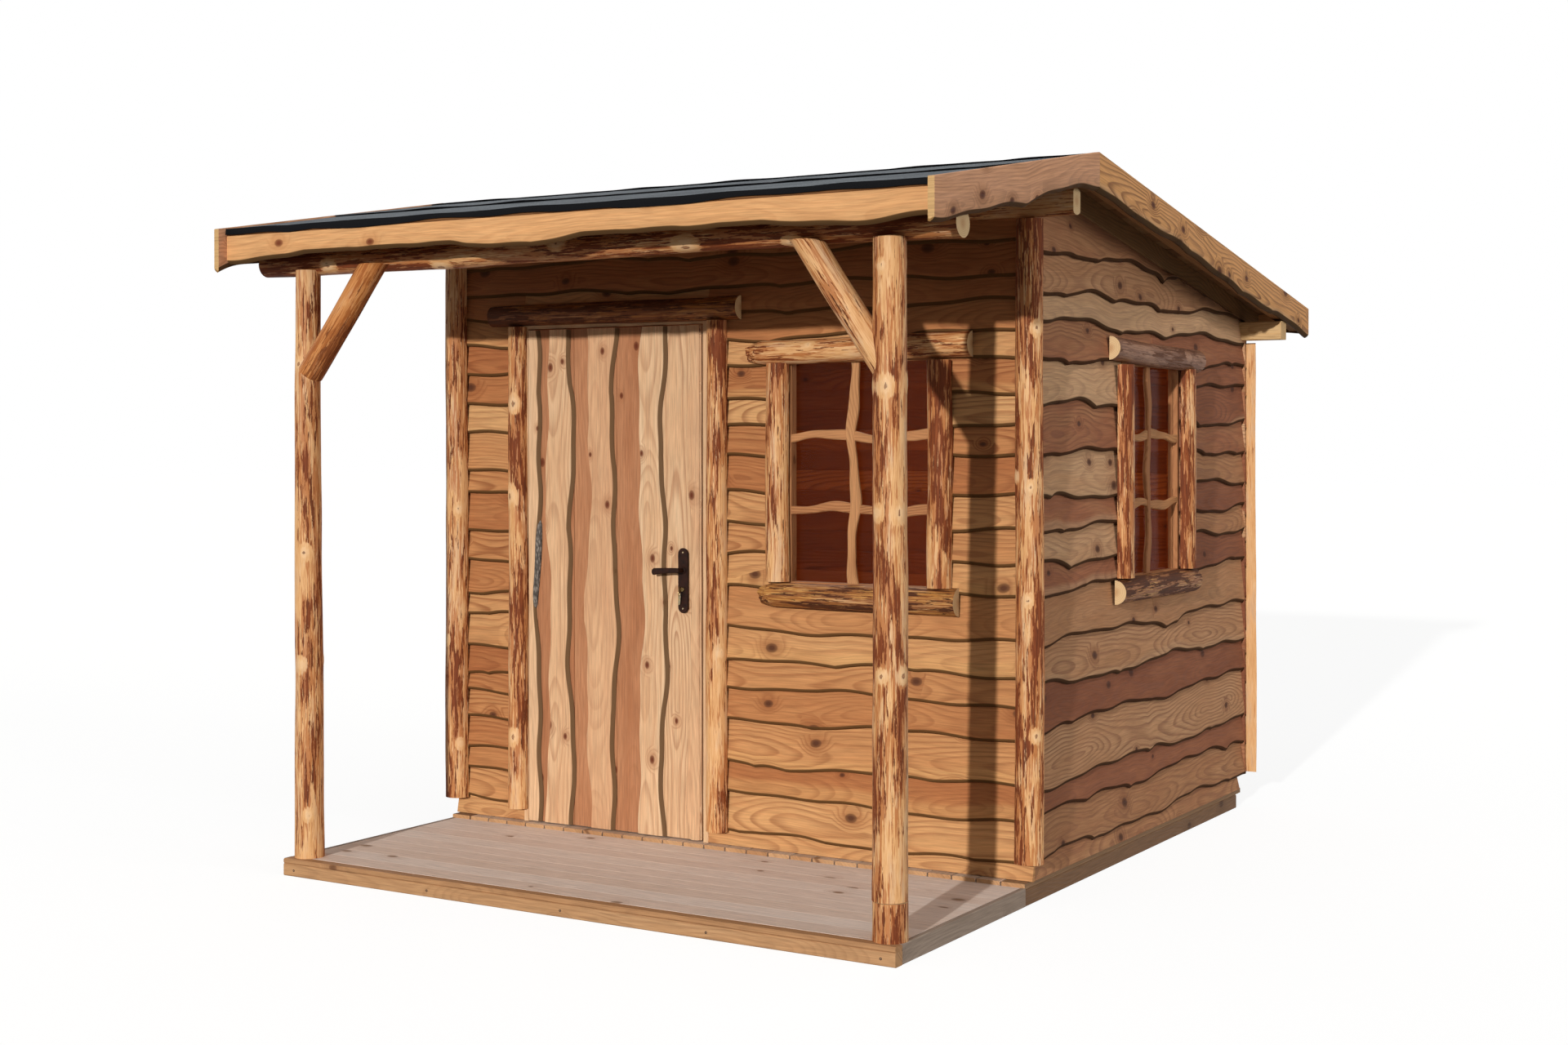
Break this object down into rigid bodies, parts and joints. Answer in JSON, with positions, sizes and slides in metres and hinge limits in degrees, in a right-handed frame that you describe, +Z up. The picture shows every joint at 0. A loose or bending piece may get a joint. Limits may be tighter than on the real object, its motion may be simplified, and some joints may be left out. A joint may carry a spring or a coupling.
{
  "type": "rustic wooden summerhouse with a covered veranda",
  "caption": "Small rustic larch cabin with waney-edge lapped boards, a hinged plank door, barred windows and a shallow felted gable roof carried over a post veranda.",
  "frame": {"origin": "on the ground under the middle of the roof's outline", "axes": "+X to the right seen from the front, +Y from the veranda to the rear wall, +Z up"},
  "size_m": [2.9, 3.562, 2.5399],
  "materials": {
    "larch_boards": "sawn larch, lightly oiled, matt",
    "debarked_log": "debarked round timber with strips of brown bast",
    "door_timber": "planed pine, matt",
    "edge_boards": "planed pine with a live lower edge",
    "deck_timber": "weathered sawn timber",
    "roof_timber": "sawn timber",
    "felt": "mineral-faced bitumen felt",
    "glass": "clear float glass",
    "dark_ironmongery": "dark brown powder coat"
  },
  "bodies": {
    "cabin": {"deck_bearers": "deck_timber", "deck_boards": "deck_timber", "deck_side_boards": "deck_timber", "cabin_bearers": "deck_timber", "cabin_floor": "deck_timber", "front_wall_left": "larch_boards", "front_wall_over_door": "larch_boards", "front_wall_right": "larch_boards", "left_wall": "larch_boards", "right_wall": "larch_boards", "rear_wall": "larch_boards", "front_corner_logs": "debarked_log", "rear_corner_logs": "debarked_log", "door_frame": "door_timber", "door_jamb_logs": "debarked_log", "door_header_log": "debarked_log", "front_window_jamb_logs": "debarked_log", "front_window_header_log": "debarked_log", "front_window_sill_log": "debarked_log", "front_window_frame": "door_timber", "front_window_glass": "glass", "side_window_jamb_logs": "debarked_log", "side_window_header_log": "debarked_log", "side_window_sill_log": "debarked_log", "side_window_frame": "door_timber", "side_window_glass": "glass", "left_post": "debarked_log", "right_post": "debarked_log", "left_brace": "debarked_log", "right_brace": "debarked_log", "front_purlin": "debarked_log", "ridge_purlin": "debarked_log", "rear_purlin": "roof_timber", "front_rafters": "roof_timber", "rear_rafters": "roof_timber", "front_roof_boards": "roof_timber", "rear_roof_boards": "roof_timber", "front_felt": "felt", "rear_felt": "felt", "left_verge_boards": "edge_boards", "right_verge_boards": "edge_boards", "front_fascia": "edge_boards", "rear_fascia": "edge_boards", "door_hinge_plates": "dark_ironmongery"},
    "door": {"door_boards": "door_timber", "door_ledges": "door_timber", "door_hinge_straps": "dark_ironmongery", "door_lock_plates": "dark_ironmongery"},
    "lever": {"door_lever": "dark_ironmongery"}
  },
  "joints": [
    {"name": "door_hinge", "type": "hinge", "parent": "cabin", "child": "door", "pos_m": [-0.895, -0.6067, 0], "axis": [0, 0, 1], "range_deg": [0, 100]},
    {"name": "lever_turn", "type": "hinge", "parent": "door", "child": "lever", "pos_m": [-0.158, -0.659, 1.084], "axis": [0, -1, 0], "range_deg": [0, 40], "stiffness_Nm_per_rad": 1.5, "springref_deg": -22.92}
  ]
}
